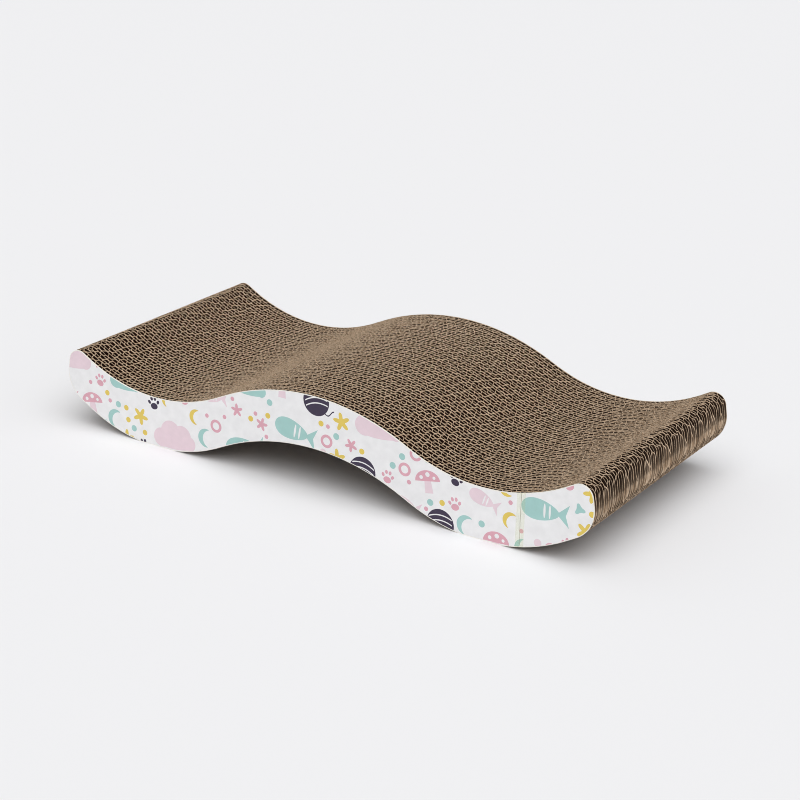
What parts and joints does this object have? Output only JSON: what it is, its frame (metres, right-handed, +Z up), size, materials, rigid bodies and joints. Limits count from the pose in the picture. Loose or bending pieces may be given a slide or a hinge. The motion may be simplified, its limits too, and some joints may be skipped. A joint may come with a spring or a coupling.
{
  "type": "cat scratching block",
  "caption": "Low wavy block of corrugated cardboard boards glued side by side, with open upright flutes on top to scratch and a printed paper sheet on each side face.",
  "frame": {"origin": "on the floor plane, under the middle of the block's length and width", "axes": "+X along the length towards the end where the front print is pieced, +Y from the front side face to the back one, +Z up"},
  "size_m": [0.43, 0.1994, 0.069],
  "materials": {
    "cardboard": "raw brown corrugated board, matt, with open cut flutes",
    "printed_paper": "white coated paper with a pastel print, satin"
  },
  "bodies": {
    "root": {"corrugated_board_01": "cardboard", "corrugated_board_02": "cardboard", "corrugated_board_03": "cardboard", "corrugated_board_04": "cardboard", "corrugated_board_05": "cardboard", "corrugated_board_06": "cardboard", "corrugated_board_07": "cardboard", "corrugated_board_08": "cardboard", "corrugated_board_09": "cardboard", "corrugated_board_10": "cardboard", "corrugated_board_11": "cardboard", "corrugated_board_12": "cardboard", "corrugated_board_13": "cardboard", "corrugated_board_14": "cardboard", "corrugated_board_15": "cardboard", "corrugated_board_16": "cardboard", "corrugated_board_17": "cardboard", "corrugated_board_18": "cardboard", "corrugated_board_19": "cardboard", "corrugated_board_20": "cardboard", "corrugated_board_21": "cardboard", "corrugated_board_22": "cardboard", "corrugated_board_23": "cardboard", "corrugated_board_24": "cardboard", "corrugated_board_25": "cardboard", "corrugated_board_26": "cardboard", "corrugated_board_27": "cardboard", "corrugated_board_28": "cardboard", "corrugated_board_29": "cardboard", "corrugated_board_30": "cardboard", "corrugated_board_31": "cardboard", "front_print_long": "printed_paper", "front_print_short": "printed_paper", "back_print": "printed_paper"}
  },
  "joints": []
}
